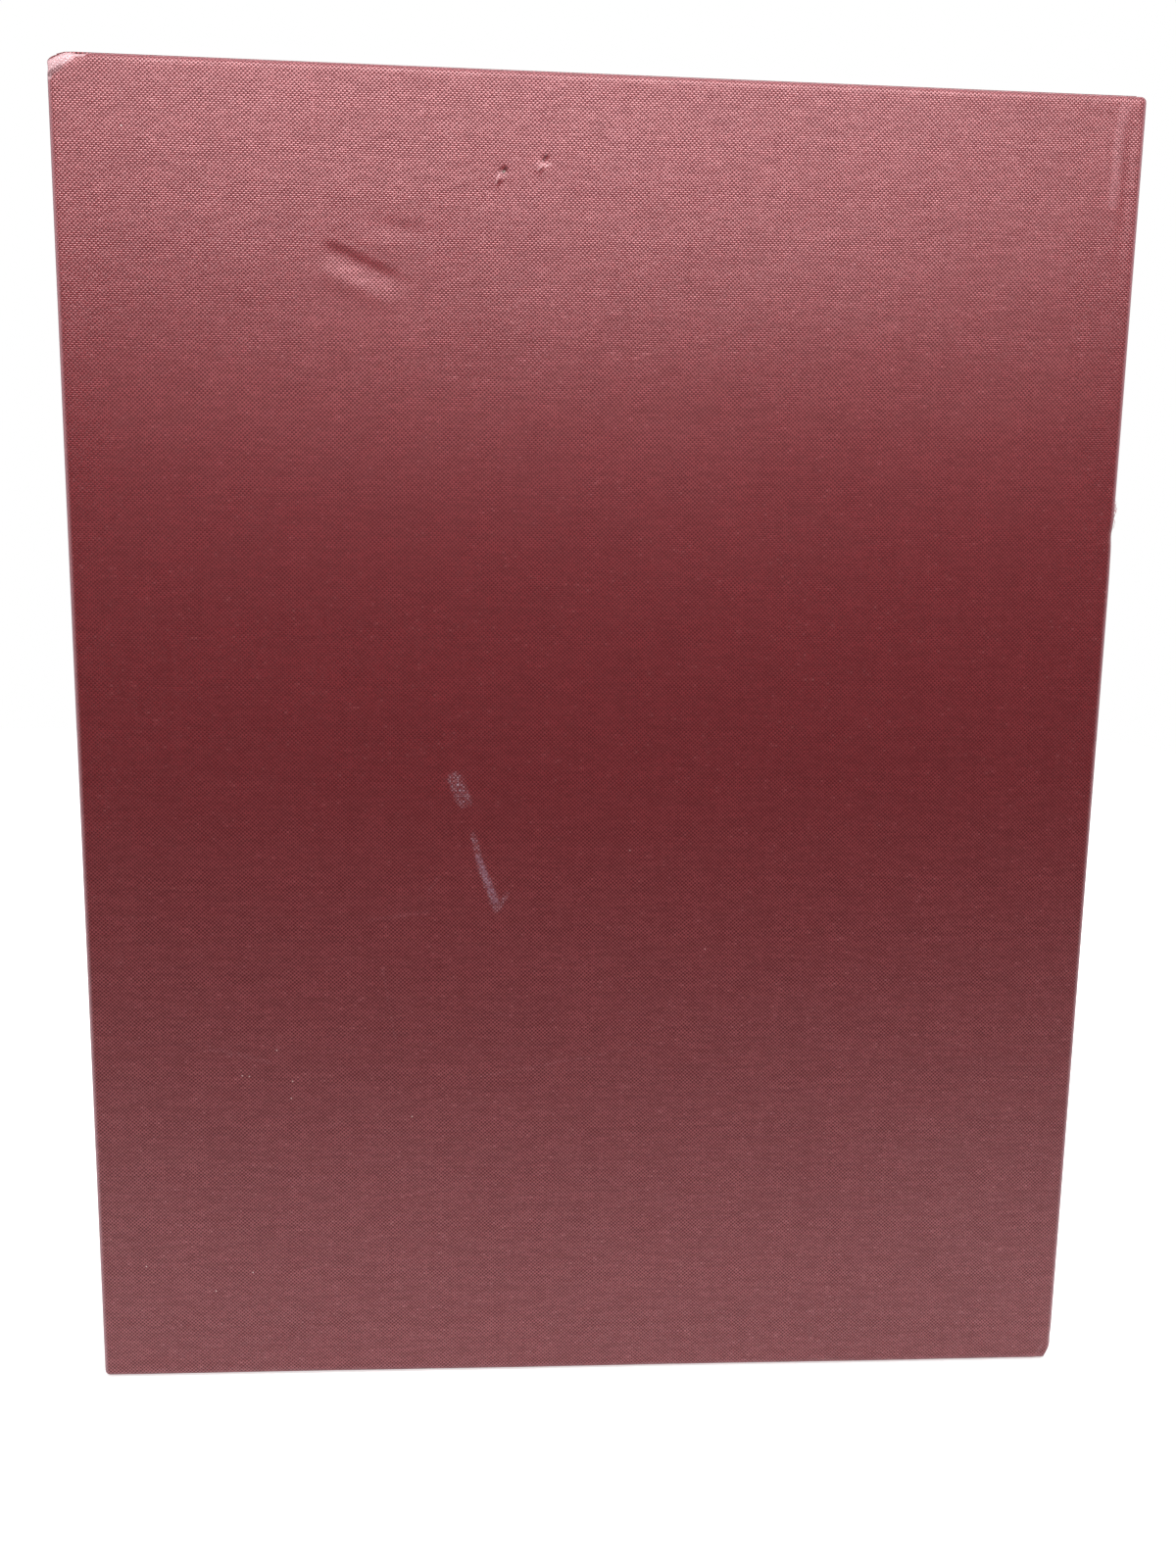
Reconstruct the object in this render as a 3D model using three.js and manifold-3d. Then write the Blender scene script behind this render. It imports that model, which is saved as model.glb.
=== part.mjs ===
// A cloth-covered book slipcase standing on its tail.
// Millimetres, +Z up. The front faces -Y, the open mouth is at -X and the closed spine at +X.
// The origin is the middle of the surface that it stands on.
import * as THREE from 'three';
import { RoundedBoxGeometry } from 'three/addons/geometries/RoundedBoxGeometry.js';
import { mergeVertices } from 'three/addons/utils/BufferGeometryUtils.js';
import Module from 'manifold-3d';

const wasm = await Module();
wasm.setup();

// Outside of the case, over the cloth
const CASE_DEPTH = 246;
const CASE_HEIGHT = 314;
const CASE_THICKNESS = 48;

// Board, cloth and paper
const BOARD = 2.5;
const CLOTH = 0.45;
const LINING = 0.25;

// Rubbed edge of a board, and the slack of the cloth that folds round it
const BOARD_EDGE_ROUND = 1.2;
const FOLD_EASE = 0.2;

// Cloth folded in at the mouth, and folded over onto the head and the tail
const MOUTH_TURN_IN = 18;
const END_TURN_OVER = 15;
const TURN_OVER_SETBACK = 3;

// Mitre cut between two turn-overs, and how far it stays from the corner of the boards
const MITRE_GAP = 0.8;
const MITRE_START = 3.5;

// Strips on the head and the tail
const STRIP_INSET = 2;
const STRIP_TURN_IN = 16;

// Lining papers stop short of the mouth, and cut edges of cloth stop short of each other
const LINING_SETBACK = 1.5;
const SEAM_GAP = 0.3;

// Long crease pressed into the front, measured across and down from its top left corner
const CREASE = { across: 70, down: 42.8, length: 21, width: 4.2, depth: 0.3, tilt: -28 };

// Two nicks beside each other, and the spot where the spine edge is rubbed
const NICK_LEFT = { across: 99, down: 22, length: 3.4, width: 1.6, depth: 0.3, tilt: 40 };
const NICK_RIGHT = { across: 108, down: 19.6, length: 3, width: 1.5, depth: 0.3, tilt: 40 };
const RUBBED_SPOT = { down: 98, length: 6, depth: 0.25 };

// Corners of the front that were knocked flat, with the length lost from each of the three
// edges that meet there: along the depth, the thickness and the height
const BUMPED_HEAD_CORNER = { depth: 6, thickness: 3.4, height: 2.8 };
const RUBBED_TAIL_CORNER = { depth: 2.4, thickness: 3, height: 5 };

// Steps on a quarter round, and the colours
const ROUND_STEPS = 6;
const CLOTH_COLOUR = 0x74272c;
const BOARD_COLOUR = 0x8d877b;
const LINING_COLOUR = 0xe4ddce;

// Planes and radii that follow from the sizes above
const HALF_DEPTH = CASE_DEPTH / 2;
const HALF_THICKNESS = CASE_THICKNESS / 2;
const BOARD_ROUND = Math.min(BOARD_EDGE_ROUND, 0.48 * BOARD);
const FOLD_INSIDE = Math.max(BOARD_ROUND - FOLD_EASE, 0.1 * BOARD);
const FOLD_OUTSIDE = FOLD_INSIDE + CLOTH;

// How far in from the outside each layer lies, on the sides and on the two ends
const SIDE = { board: CLOTH, lining: CLOTH + BOARD, turnIn: CLOTH + BOARD + LINING };
SIDE.inside = SIDE.turnIn + CLOTH;
const END = { wrap: CLOTH, board: 2 * CLOTH, lining: 2 * CLOTH + BOARD };
END.turnIn = END.lining + LINING;
END.inside = END.turnIn + CLOTH;

// Past any face of the case, for the far side of a cut
const BEYOND = 10;
const FRONT = -1;
const BACK = 1;
const HEAD = 1;
const TAIL = -1;

// Places measured inwards from a side of the case or from one of its two ends
const sideY = (side, inwards) => side * (HALF_THICKNESS - inwards);
const endZ = (end, inwards) => (end === HEAD ? CASE_HEIGHT - inwards : inwards);
const mouthX = (inwards) => -HALF_DEPTH + inwards;
const spineX = (inwards) => HALF_DEPTH - inwards;

// Block between two opposite corners, given in any order
function block(cornerA, cornerB) {
  const a = new THREE.Vector3(...cornerA);
  const b = new THREE.Vector3(...cornerB);
  const size = b.clone().sub(a);
  const middle = a.add(b).multiplyScalar(0.5);
  const geometry = new THREE.BoxGeometry(Math.abs(size.x), Math.abs(size.y), Math.abs(size.z));
  return geometry.translate(middle.x, middle.y, middle.z);
}

// The same with all its edges rounded
function roundedBlock(cornerA, cornerB, radius) {
  const a = new THREE.Vector3(...cornerA);
  const b = new THREE.Vector3(...cornerB);
  const size = b.clone().sub(a);
  const middle = a.add(b).multiplyScalar(0.5);
  const [x, y, z] = [Math.abs(size.x), Math.abs(size.y), Math.abs(size.z)];
  const geometry = new RoundedBoxGeometry(x, y, z, ROUND_STEPS / 2, radius);
  return geometry.translate(middle.x, middle.y, middle.z);
}

// Coordinates on a grid of a tenth of a micron, so that faces that touch hold the same numbers
function onGrid(values) {
  const points = new Float32Array(values.length);
  values.forEach((value, i) => {
    points[i] = Math.round(value * 1e4) / 1e4;
  });
  return points;
}

// Closed mesh turned into a solid that can be joined and cut
function solid(geometry) {
  const bare = geometry.clone();
  bare.deleteAttribute('normal');
  bare.deleteAttribute('uv');
  const merged = mergeVertices(bare, 1e-4);
  return new wasm.Manifold(new wasm.Mesh({
    numProp: 3,
    vertProperties: onGrid(merged.attributes.position.array),
    triVerts: new Uint32Array(merged.index.array),
  }));
}

// Solid turned back into a mesh
function geometryOf(body) {
  const mesh = body.getMesh();
  const geometry = new THREE.BufferGeometry();
  geometry.setAttribute('position', new THREE.BufferAttribute(onGrid(mesh.vertProperties), 3));
  geometry.setIndex(new THREE.BufferAttribute(new Uint32Array(mesh.triVerts), 1));
  geometry.computeVertexNormals();
  return geometry;
}

// Flat that a knock leaves on a corner of the front, this far inside the outer surface
function cornerFlat(cornerX, end, lost, inwards) {
  const slope = new THREE.Vector3(
    Math.sign(cornerX) / lost.depth,
    FRONT / lost.thickness,
    end / lost.height,
  );
  const depth = 1 / slope.length();
  const outwards = slope.normalize();
  const corner = new THREE.Vector3(cornerX, sideY(FRONT, 0), endZ(end, END.wrap));
  const middle = corner.addScaledVector(outwards, BEYOND - depth - inwards);
  const cutter = new THREE.BoxGeometry(2 * BEYOND, 2 * BEYOND, 2 * BEYOND);
  const turn = new THREE.Quaternion().setFromUnitVectors(new THREE.Vector3(0, 0, 1), outwards);
  cutter.applyQuaternion(turn);
  return solid(cutter.translate(middle.x, middle.y, middle.z));
}

// Takes both knocked corners off a solid whose faces lie this far inside the outer surface
function knocked(body, inwards) {
  const headCorner = cornerFlat(mouthX(0), HEAD, BUMPED_HEAD_CORNER, inwards);
  const tailCorner = cornerFlat(spineX(0), TAIL, RUBBED_TAIL_CORNER, inwards);
  return body.subtract(headCorner).subtract(tailCorner);
}

// Shallow lens pressed into the front face
function dent({ across, down, length, width, depth, tilt }) {
  const lens = new THREE.SphereGeometry(1, 24, 12);
  lens.scale(length / 2, depth, width / 2);
  lens.rotateY(-THREE.MathUtils.degToRad(tilt));
  return solid(lens.translate(mouthX(across), sideY(FRONT, 0), endZ(HEAD, down)));
}

// Hollow worn into the rounded edge between the front and the spine
function rubbedSpot({ down, length, depth }) {
  const edgeToRound = FOLD_OUTSIDE * (Math.SQRT2 - 1);
  const hollow = new THREE.SphereGeometry(1, 14, 11).rotateX(Math.PI / 2);
  hollow.scale(edgeToRound + depth, edgeToRound + depth, length / 2);
  return solid(hollow.translate(spineX(0), sideY(FRONT, 0), endZ(HEAD, down)));
}

// All boards together: the block that they fill, with the edges rubbed round
function boardBlock(radius) {
  const low = [mouthX(SIDE.board), sideY(FRONT, SIDE.board), endZ(TAIL, END.board)];
  const high = [spineX(SIDE.board), sideY(BACK, SIDE.board), endZ(HEAD, END.board)];
  return solid(roundedBlock(low, high, radius));
}

// Front or back board: full height and depth, rounded at the mouth
function sideBoard(side) {
  const slab = solid(roundedBlock(
    [mouthX(SIDE.board), sideY(side, SIDE.board), -BEYOND],
    [spineX(-BEYOND), sideY(side, SIDE.lining), CASE_HEIGHT + BEYOND],
    BOARD_ROUND,
  ));
  return knocked(slab.intersect(boardBlock(BOARD_ROUND)), SIDE.board + FOLD_EASE);
}

// Spine board: full height, between the front and back boards
function spineBoard() {
  const slab = solid(block(
    [spineX(SIDE.board), sideY(FRONT, SIDE.lining), endZ(TAIL, END.board)],
    [spineX(SIDE.lining), sideY(BACK, SIDE.lining), endZ(HEAD, END.board)],
  ));
  return knocked(slab.intersect(boardBlock(BOARD_ROUND)), SIDE.board + FOLD_EASE);
}

// Head or tail board: between the side boards, from the mouth to the spine board
function endBoard(end) {
  const rounded = solid(roundedBlock(
    [mouthX(SIDE.board), sideY(FRONT, -BEYOND), endZ(end, END.board)],
    [spineX(-BEYOND), sideY(BACK, -BEYOND), endZ(end, END.lining)],
    BOARD_ROUND,
  ));
  const slab = solid(block(
    [mouthX(0), sideY(FRONT, SIDE.lining), endZ(end, 0)],
    [spineX(SIDE.lining), sideY(BACK, SIDE.lining), endZ(end, END.inside)],
  ));
  return knocked(slab.intersect(rounded), SIDE.board + FOLD_EASE);
}

// Cloth round the mouth edge of a side board and turned in behind it
function mouthLip(side) {
  const cut = MOUTH_TURN_IN + BEYOND;
  const outside = solid(roundedBlock(
    [mouthX(0), sideY(side, 0), endZ(TAIL, END.wrap)],
    [mouthX(cut), sideY(side, SIDE.inside), endZ(HEAD, END.wrap)],
    FOLD_OUTSIDE,
  ));
  const inside = solid(roundedBlock(
    [mouthX(SIDE.board), sideY(side, SIDE.board), -BEYOND],
    [mouthX(cut + BEYOND), sideY(side, SIDE.turnIn), CASE_HEIGHT + BEYOND],
    FOLD_INSIDE,
  )).intersect(boardBlock(FOLD_INSIDE));
  let lip = knocked(outside, 0).subtract(knocked(inside, CLOTH));
  lip = lip.subtract(solid(block(
    [mouthX(MOUTH_TURN_IN), sideY(side, -BEYOND), -BEYOND],
    [mouthX(cut + BEYOND), sideY(side, SIDE.inside + BEYOND), CASE_HEIGHT + BEYOND],
  )));
  for (const end of [HEAD, TAIL]) {
    lip = lip.subtract(solid(block(
      [mouthX(SIDE.board), sideY(side, SIDE.lining), endZ(end, END.board)],
      [mouthX(cut), sideY(side, SIDE.inside + BEYOND), endZ(end, END.inside + SEAM_GAP)],
    )));
  }
  return lip;
}

// Mitre cuts where the turn-overs meet at the two corners of the spine
function mitreCuts() {
  const run = (END_TURN_OVER - MITRE_START) * Math.SQRT2;
  const middle = (END_TURN_OVER + MITRE_START) / 2;
  const makeCut = (side) => {
    const slot = new THREE.BoxGeometry(run, MITRE_GAP, CASE_HEIGHT + 2 * BEYOND);
    slot.rotateZ(side * Math.PI / 4);
    slot.translate(spineX(middle), sideY(side, middle), CASE_HEIGHT / 2);
    return solid(slot);
  };
  return makeCut(FRONT).add(makeCut(BACK));
}

// One sheet of cloth: front, spine and back, folded over the ends and in at the mouth
function clothWrap() {
  const outside = solid(roundedBlock(
    [mouthX(0), sideY(FRONT, 0), endZ(TAIL, END.wrap)],
    [spineX(0), sideY(BACK, 0), endZ(HEAD, END.wrap)],
    FOLD_OUTSIDE,
  ));
  const mouth = solid(block(
    [mouthX(-BEYOND), sideY(FRONT, SIDE.inside), -BEYOND],
    [mouthX(TURN_OVER_SETBACK), sideY(BACK, SIDE.inside), CASE_HEIGHT + BEYOND],
  ));
  const window = solid(block(
    [mouthX(-BEYOND), sideY(FRONT, END_TURN_OVER), -BEYOND],
    [spineX(END_TURN_OVER), sideY(BACK, END_TURN_OVER), CASE_HEIGHT + BEYOND],
  ));
  let wrap = knocked(outside, 0).subtract(knocked(boardBlock(FOLD_INSIDE), CLOTH));
  wrap = wrap.subtract(mouth).subtract(window).subtract(mitreCuts());
  wrap = wrap.add(mouthLip(FRONT)).add(mouthLip(BACK));
  for (const mark of [CREASE, NICK_LEFT, NICK_RIGHT]) {
    wrap = wrap.subtract(dent(mark));
  }
  return wrap.subtract(rubbedSpot(RUBBED_SPOT));
}

// Points of a quarter round about a centre, between two angles in quarter turns
function quarterRound(centreX, centreZ, radius, from, to) {
  const points = [];
  for (let step = 0; step <= ROUND_STEPS; step += 1) {
    const angle = (from + (to - from) * step / ROUND_STEPS) * Math.PI / 2;
    points.push([centreX + radius * Math.cos(angle), centreZ + radius * Math.sin(angle)]);
  }
  return points;
}

// Hook of a strip seen from the side: down round the mouth edge and turned in. It starts
// this far in from the end and covers part of the thickness of the case.
function stripHook(end, inwards, fromY, toY) {
  const nearX = mouthX(FOLD_OUTSIDE);
  const nearZ = inwards + FOLD_OUTSIDE;
  const farZ = END.inside - FOLD_OUTSIDE;
  const outline = [
    ...quarterRound(nearX, nearZ, FOLD_OUTSIDE, 3, 2),
    ...quarterRound(nearX, farZ, FOLD_OUTSIDE, 2, 1),
    [mouthX(STRIP_TURN_IN), END.inside],
    [mouthX(STRIP_TURN_IN), END.turnIn],
    ...quarterRound(nearX, farZ, FOLD_INSIDE, 1, 2),
    ...quarterRound(nearX, nearZ, FOLD_INSIDE, 2, 3),
  ];
  const shape = new THREE.Shape(outline.map(([x, z]) => new THREE.Vector2(x, endZ(end, z))));
  const hook = new THREE.ExtrudeGeometry(shape, { depth: Math.abs(toY - fromY), bevelEnabled: false });
  hook.rotateX(Math.PI / 2);
  return solid(hook.translate(0, Math.max(fromY, toY), 0));
}

// Length of a strip between the mouth and the spine, seen along it: raised where it crosses
// the turn-overs of the front and back, sunk onto the board between them
function stripRun(end, ledge, sunk) {
  const raised = [
    [HALF_THICKNESS - STRIP_INSET, CLOTH],
    [HALF_THICKNESS - STRIP_INSET, 0],
    [HALF_THICKNESS - ledge, 0],
    [HALF_THICKNESS - ledge, CLOTH],
  ];
  const lowered = [
    [HALF_THICKNESS - sunk, 2 * CLOTH],
    [HALF_THICKNESS - sunk, CLOTH],
  ];
  const mirrored = (points) => points.map(([y, z]) => [-y, z]).reverse();
  const outline = [...raised, ...mirrored(raised), ...mirrored(lowered), ...lowered];
  const shape = new THREE.Shape(outline.map(([y, z]) => new THREE.Vector2(y, endZ(end, z))));
  const length = spineX(ledge) - mouthX(FOLD_OUTSIDE);
  const run = new THREE.ExtrudeGeometry(shape, { depth: length, bevelEnabled: false });
  run.rotateX(Math.PI / 2).rotateZ(Math.PI / 2);
  return solid(run.translate(mouthX(FOLD_OUTSIDE), 0, 0));
}

// Strip on the head or the tail
function endStrip(end) {
  const sunk = END_TURN_OVER + FOLD_EASE;
  const ledge = sunk + CLOTH;
  const foldEnd = SIDE.inside + SEAM_GAP;
  const overSpine = solid(block(
    [spineX(ledge), sideY(FRONT, STRIP_INSET), endZ(end, 0)],
    [spineX(STRIP_INSET), sideY(BACK, STRIP_INSET), endZ(end, CLOTH)],
  ));
  const underSpine = solid(block(
    [spineX(ledge), sideY(FRONT, sunk), endZ(end, CLOTH)],
    [spineX(sunk), sideY(BACK, sunk), endZ(end, 2 * CLOTH)],
  ));
  const strip = stripRun(end, ledge, sunk)
    .add(overSpine)
    .add(underSpine)
    .add(stripHook(end, CLOTH, sideY(FRONT, sunk), sideY(BACK, sunk)))
    .add(stripHook(end, 0, sideY(FRONT, sunk), sideY(FRONT, foldEnd)))
    .add(stripHook(end, 0, sideY(BACK, sunk), sideY(BACK, foldEnd)));
  return knocked(strip, 0);
}

// Lining papers, each pasted flat on the inside of its board
function sideLining(side) {
  return solid(block(
    [mouthX(SIDE.board + LINING_SETBACK), sideY(side, SIDE.lining), endZ(TAIL, END.lining)],
    [spineX(SIDE.lining), sideY(side, SIDE.turnIn), endZ(HEAD, END.lining)],
  ));
}

function endLining(end) {
  return solid(block(
    [mouthX(SIDE.board + LINING_SETBACK), sideY(FRONT, SIDE.turnIn), endZ(end, END.lining)],
    [spineX(SIDE.lining), sideY(BACK, SIDE.turnIn), endZ(end, END.turnIn)],
  ));
}

function spineLining() {
  return solid(block(
    [spineX(SIDE.lining), sideY(FRONT, SIDE.turnIn), endZ(TAIL, END.turnIn)],
    [spineX(SIDE.turnIn), sideY(BACK, SIDE.turnIn), endZ(HEAD, END.turnIn)],
  ));
}

// Every piece under its own name, in the order in which a case maker puts them together
const slipcase = new THREE.Group();

function addPiece(name, body, colour, roughness) {
  const material = new THREE.MeshStandardMaterial({ color: colour, roughness, metalness: 0 });
  const mesh = new THREE.Mesh(geometryOf(body), material);
  mesh.name = name;
  slipcase.add(mesh);
}

addPiece('front_board', sideBoard(FRONT), BOARD_COLOUR, 0.95);
addPiece('back_board', sideBoard(BACK), BOARD_COLOUR, 0.95);
addPiece('spine_board', spineBoard(), BOARD_COLOUR, 0.95);
addPiece('head_board', endBoard(HEAD), BOARD_COLOUR, 0.95);
addPiece('tail_board', endBoard(TAIL), BOARD_COLOUR, 0.95);
addPiece('front_lining', sideLining(FRONT), LINING_COLOUR, 0.9);
addPiece('back_lining', sideLining(BACK), LINING_COLOUR, 0.9);
addPiece('spine_lining', spineLining(), LINING_COLOUR, 0.9);
addPiece('head_lining', endLining(HEAD), LINING_COLOUR, 0.9);
addPiece('tail_lining', endLining(TAIL), LINING_COLOUR, 0.9);
addPiece('cloth_wrap', clothWrap(), CLOTH_COLOUR, 0.6);
addPiece('head_strip', endStrip(HEAD), CLOTH_COLOUR, 0.6);
addPiece('tail_strip', endStrip(TAIL), CLOTH_COLOUR, 0.6);

export default slipcase;
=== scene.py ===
# %% [markdown]
# # A slipcase for one large book
#
# The real object is five pieces of greyboard, glued into a box that is open on one side. Paper
# is pasted on the inside, one sheet of book cloth goes round the outside, and a strip of the
# same cloth covers each end. The boards and papers have their final shape already, so they only
# get a finish here. The three pieces of cloth are made again as a bookbinder makes them: cut
# flat, folded round the boards, and then worn.

import math
import random

import bmesh
import bpy
from mathutils import Matrix, Vector, noise


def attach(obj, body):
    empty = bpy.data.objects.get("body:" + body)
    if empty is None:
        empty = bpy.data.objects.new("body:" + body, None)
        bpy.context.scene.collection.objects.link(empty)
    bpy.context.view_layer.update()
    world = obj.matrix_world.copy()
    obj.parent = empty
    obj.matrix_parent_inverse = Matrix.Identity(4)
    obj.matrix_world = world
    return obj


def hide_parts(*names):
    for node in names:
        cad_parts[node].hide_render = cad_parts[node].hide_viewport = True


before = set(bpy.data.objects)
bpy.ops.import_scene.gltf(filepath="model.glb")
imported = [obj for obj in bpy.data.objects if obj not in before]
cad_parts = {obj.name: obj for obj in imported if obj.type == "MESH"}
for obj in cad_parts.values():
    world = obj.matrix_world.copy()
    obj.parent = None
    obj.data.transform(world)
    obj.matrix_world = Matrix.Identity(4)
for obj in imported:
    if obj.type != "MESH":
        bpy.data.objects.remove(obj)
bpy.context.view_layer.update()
print("pieces:", sorted(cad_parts))

# %% [markdown]
# ## Where the picture is taken from
#
# A camera could be placed by eye, but the front of the case is a rectangle of known size. Its
# four corners in the picture fix the place, the tilt and the lens together. The lens is wide and
# close, a little above the middle of the case, so the top looks wider than the foot.

# %% Camera
LONG_SIDE_PIXELS = 1600
FOCAL_PIXELS = 1250
CAMERA_PLACE = (-0.0195, -0.3157, 0.1971)
LOOKS_DOWN, TURNED, ROLLED = 8.44, -3.34, 0.97

camera_data = bpy.data.cameras.new("camera")
camera_data.sensor_width = 36
camera_data.lens = 36 * FOCAL_PIXELS / LONG_SIDE_PIXELS
camera_data.clip_start = 0.01
camera = bpy.data.objects.new("camera", camera_data)
camera.matrix_world = (
    Matrix.Translation(CAMERA_PLACE)
    @ Matrix.Rotation(math.radians(TURNED), 4, "Z")
    @ Matrix.Rotation(math.radians(90 - LOOKS_DOWN), 4, "X")
    @ Matrix.Rotation(math.radians(ROLLED), 4, "Z")
)
bpy.context.scene.collection.objects.link(camera)
bpy.context.scene.camera = camera
bpy.context.scene.view_settings.view_transform = "Standard"
print("lens:", round(camera_data.lens, 2), "mm")

# %% [markdown]
# ## The sizes of the case
#
# They are the sizes of the solids, in millimetres, because a hundredth of a millimetre matters
# on cloth that is less than half a millimetre thick. A finished mesh is scaled to metres once,
# at its end.

# %% Sizes
DEPTH, THICKNESS, HEIGHT = 246.0, 48.0, 314.0
BOARD, CLOTH, LINING = 2.5, 0.45, 0.25
FOLD = 1.45
LIP = CLOTH + BOARD + LINING + CLOTH
TURN_IN, TURN_OVER = 18.0, 15.0
STRIP_INSET, STRIP_TURN_IN = 2.0, 16.0
QUARTER = math.pi / 2 * FOLD
print("length of cloth in one quarter fold:", round(QUARTER, 3), "mm")

# %% [markdown]
# ## A folded line
#
# Cloth that goes round a case runs straight, turns a quarter round, and runs straight again.
# Bending a mesh with a modifier would stretch it at each fold. Walking along the line and
# turning left at each corner keeps every length, so the weave stays as fine on a fold as beside
# it. The walk gives the point that is reached and the direction that faces outwards.


# %% Walk along a folded line
def walk(start, heading, steps, distance):
    """The point after this distance, and the direction outwards. Each step is a straight
    length, or "turn" for a quarter turn to the left."""
    place, ahead = Vector(start), Vector(heading)
    for step in steps:
        length = QUARTER if step == "turn" else step
        part = min(distance, length)
        if step == "turn":
            left = Vector((-ahead.y, ahead.x))
            angle = part / FOLD
            place = place + FOLD * (math.sin(angle) * ahead + (1 - math.cos(angle)) * left)
            ahead = math.cos(angle) * ahead + math.sin(angle) * left
        else:
            place = place + part * ahead
        distance -= part
        if distance <= 0:
            break
    return place, Vector((ahead.y, -ahead.x))


# %% [markdown]
# ## Cutting lines
#
# A flat sheet needs many lines where it will be folded or dented, and few elsewhere. The lines
# are given as stops: a position, and the widest gap allowed after it. A grid is made with as
# many lines, and then each line is slid to its place.


# %% Flat sheet of cloth from two rows of stops
def lines_between(stops):
    lines = [stops[0][0]]
    for (here, gap), (there, _) in zip(stops, stops[1:]):
        count = max(1, math.ceil((there - here) / gap - 1e-6))
        lines += [here + (there - here) * i / count for i in range(1, count + 1)]
    return lines


def flat_sheet(across_stops, up_stops):
    across, up = lines_between(across_stops), lines_between(up_stops)
    sheet = bmesh.new()
    bmesh.ops.create_grid(sheet, x_segments=len(across) - 1, y_segments=len(up) - 1, size=0.5)
    for vert in sheet.verts:
        column = round((vert.co.x + 0.5) * (len(across) - 1))
        row = round((vert.co.y + 0.5) * (len(up) - 1))
        vert.co = (across[column], up[row], 0)
    return sheet


def cut_away(sheet, is_waste):
    waste = [face for face in sheet.faces if is_waste(face.calc_center_median())]
    bmesh.ops.delete(sheet, geom=waste, context="FACES")


def cut_line(sheet, point, direction, reach):
    """Cuts a straight line into the faces near a point, so that a slanting edge comes clean."""
    near = [f for f in sheet.faces if (f.calc_center_median() - Vector(point)).length < reach]
    touched = {v for f in near for v in f.verts} | {e for f in near for e in f.edges}
    normal = Vector((-direction[1], direction[0], 0)).normalized()
    bmesh.ops.bisect_plane(
        sheet, geom=near + list(touched), dist=1e-5, plane_co=point, plane_no=normal
    )


def mark_flat_size(sheet):
    """Keeps each point's place on the flat cloth, in metres, as the map of the weave."""
    weave_map = sheet.loops.layers.uv.new("flat_cloth")
    for face in sheet.faces:
        for loop in face.loops:
            loop[weave_map].uv = (loop.vert.co.x / 1000, loop.vert.co.y / 1000)


# %% [markdown]
# ## The wrap, cut flat
#
# The wrap starts inside the mouth of the front, goes round its edge, over the front, the spine
# and the back, and ends inside the mouth of the back. Above and below it has flaps that turn
# over the ends of the boards. A maker cuts a notch at each corner so that the flaps meet on a
# slant instead of lying double, and cuts the turn-ins short so that they fit inside the case.

# %% Places along the wrap and up the wrap
front_long = DEPTH - 2 * FOLD
spine_long = THICKNESS - 2 * FOLD
lip_long = LIP - 2 * FOLD
turn_in_long = TURN_IN - FOLD
wrap_walk = [
    turn_in_long, "turn", lip_long, "turn", front_long, "turn", spine_long,
    "turn", front_long, "turn", lip_long, "turn", turn_in_long,
]
around = [0.0]
for step in wrap_walk:
    around.append(around[-1] + (QUARTER if step == "turn" else step))
wrap_long = around[-1]

flap = TURN_OVER - FOLD
wall = HEIGHT - 2 * CLOTH - 2 * FOLD
upward = [0.0, flap, flap + QUARTER, flap + QUARTER + wall]
upward += [upward[-1] + QUARTER, upward[-1] + QUARTER + flap]
wrap_high = upward[-1]
print("wrap cut flat:", round(wrap_long, 1), "x", round(wrap_high, 1), "mm")


# %% Stops for the lines of the wrap
def front_across(across):
    """Place along the wrap of a point this far from the mouth edge of the front."""
    return around[4] + across - FOLD


def front_down(down):
    """Place up the wrap of a point this far below the head of the front."""
    return upward[2] + HEIGHT - CLOTH - FOLD - down


along_stops = [
    (around[0], 4), (around[1], 0.46), (around[2], 0.4), (around[3], 0.46), (around[4], 0.7),
    (front_across(3), 0.7), (front_across(11), 4), (front_across(56), 0.75),
    (front_across(84), 2), (front_across(96.5), 0.5), (front_across(110.5), 4),
    (front_across(236), 0.8), (around[5], 0.46), (around[6], 4), (around[7], 0.46),
    (around[8], 6), (around[9], 0.46), (around[10], 0.4), (around[11], 0.46), (around[12], 4),
    (around[13], 1),
]
up_stops = [
    (upward[0], 3), (upward[1], 0.46), (upward[2], 1), (front_down(302), 5),
    (front_down(103), 0.8), (front_down(93), 5), (front_down(54), 0.8), (front_down(33), 2),
    (front_down(25), 0.55), (front_down(16.5), 1.5), (front_down(10), 0.7),
    (upward[3], 0.46), (upward[4], 3), (upward[5], 1),
]
wrap = flat_sheet(along_stops, up_stops)
print("faces in the flat wrap:", len(wrap.faces))

# %% Mitres at the spine, and notches at the mouth
MITRE_SPREAD = 0.03
MITRE_REACH = 0.78
TONGUE_WIDE = 3.0
TURN_IN_SHORTER = 4.4
tongue = front_across(TONGUE_WIDE)
mitre_lines = []
for left, right in ((around[5], around[6]), (around[7], around[8])):
    for edge, outwards in ((upward[1], -1), (upward[4], 1)):
        mitre_lines.append((Vector((left, edge, 0)), (-1 - MITRE_SPREAD, outwards)))
        mitre_lines.append((Vector((right, edge, 0)), (1 + MITRE_SPREAD, outwards)))
for corner, direction in mitre_lines:
    end = corner + Vector((direction[0], direction[1], 0)) * flap / 2
    cut_line(wrap, end, direction, MITRE_REACH * flap)


def beyond_fold(place):
    """How far past the fold of an end a point lies, out on the flap."""
    return max(upward[1] - place.y, place.y - upward[4])


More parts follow.
